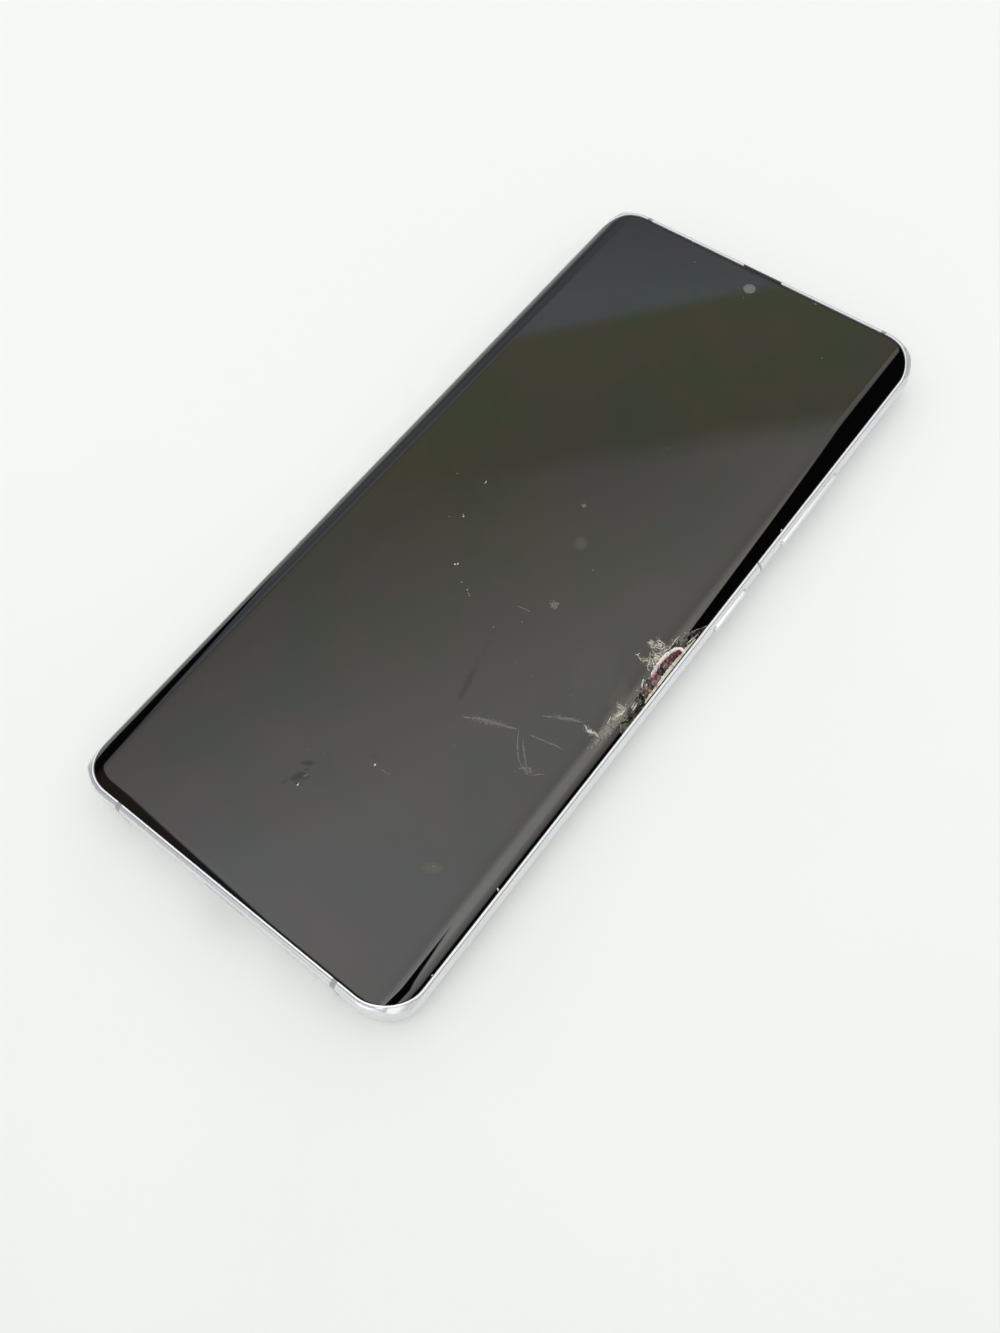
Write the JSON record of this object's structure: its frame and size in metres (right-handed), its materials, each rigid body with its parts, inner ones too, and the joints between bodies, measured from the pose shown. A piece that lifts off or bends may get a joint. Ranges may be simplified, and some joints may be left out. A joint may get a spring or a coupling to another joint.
{
  "type": "shattered screen phone",
  "caption": "Large curved-edge smartphone with a silver frame, its display glass broken out at the right edge and cracked, chipped and scratched around it.",
  "frame": {"origin": "under the middle of the body, level with the face of the rear camera rim, the lowest point", "axes": "+X to the phone's right side seen from the front (the side with the keys), +Y to its top end, +Z out of the display"},
  "size_m": [0.074, 0.1624, 0.009],
  "materials": {
    "frame_metal": "polished, clear coated",
    "antenna_plastic": "satin",
    "front_glass": "polished, cracked and chipped at the right-hand edge, scratched",
    "panel": "dark layered film",
    "foil": "copper foil",
    "adhesive": "foam tape",
    "ribbon": "polyimide ribbon",
    "black_part": "moulded",
    "chip": "moulded epoxy",
    "board": "solder mask",
    "can_steel": "pressed",
    "rear_glass": "satin, coloured behind",
    "rim_metal": "polished",
    "lens_glass": "coated",
    "barrel": "black",
    "flash": "moulded lens",
    "battery_pouch": "laminated pouch",
    "graphite": "sheet",
    "copper": "wound",
    "cable": "sheathed",
    "seal_rubber": "moulded",
    "gold": "plated",
    "motor_weight": "sintered",
    "screw_steel": "zinc plated",
    "mesh_steel": "black woven"
  },
  "bodies": {
    "phone": {"mid_frame": "frame_metal", "antenna_bands": "antenna_plastic", "cover_glass": "front_glass", "display_panel": "panel", "display_backing": "foil", "display_adhesive": "adhesive", "display_flex": "ribbon", "fingerprint_reader": "chip", "front_camera": "barrel", "earpiece": "black_part", "earpiece_mesh": "mesh_steel", "light_sensor": "chip", "heat_spreader": "graphite", "rear_glass": "rear_glass", "rear_adhesive": "adhesive", "camera_rim": "rim_metal", "camera_window": "lens_glass", "main_camera": "black_part", "wide_camera": "black_part", "zoom_camera": "black_part", "flash_lens": "flash", "main_board": "board", "processor": "chip", "memory_chips": "chip", "board_shields": "can_steel", "sim_reader": "can_steel", "upper_bracket": "black_part", "microphones": "gold", "battery": "battery_pouch", "battery_adhesive": "adhesive", "battery_flex": "ribbon", "charging_sheet": "graphite", "charging_coil": "copper", "main_flex": "ribbon", "antenna_cable": "cable", "lower_board": "board", "charging_port": "can_steel", "port_tongue": "black_part", "port_seal": "seal_rubber", "speaker_box": "black_part", "speaker_driver": "can_steel", "speaker_mesh": "mesh_steel", "motor_case": "can_steel", "key_switches": "gold", "key_flex": "ribbon", "key_bracket": "can_steel", "screws": "screw_steel"},
    "sim_tray": {"sim_tray": "frame_metal", "sim_tray_seal": "seal_rubber"},
    "focus_barrel": {"main_camera_lens": "barrel"},
    "motor_mass": {"motor_mass": "motor_weight"},
    "power_key": {"power_key": "frame_metal"},
    "volume_key": {"volume_key": "frame_metal"}
  },
  "joints": [
    {"name": "power_press", "type": "slide", "parent": "phone", "child": "power_key", "axis": [-1, 0, 0], "range_m": [0, 0.00025], "stiffness_N_per_m": 2000},
    {"name": "volume_rock", "type": "hinge", "parent": "phone", "child": "volume_key", "pos_m": [0.035, 0.0388, 0.0051], "axis": [0, 0, 1], "range_deg": [-1.2, 1.2], "stiffness_Nm_per_rad": 0.3},
    {"name": "tray_pull", "type": "slide", "parent": "phone", "child": "sim_tray", "axis": [0, 1, 0], "range_m": [0, 0.016]},
    {"name": "focus", "type": "slide", "parent": "phone", "child": "focus_barrel", "axis": [0, 0, -1], "range_m": [0, 0.0003], "stiffness_N_per_m": 100},
    {"name": "shake", "type": "slide", "parent": "phone", "child": "motor_mass", "axis": [1, 0, 0], "range_m": [-0.0005, 0.0005], "stiffness_N_per_m": 500}
  ]
}
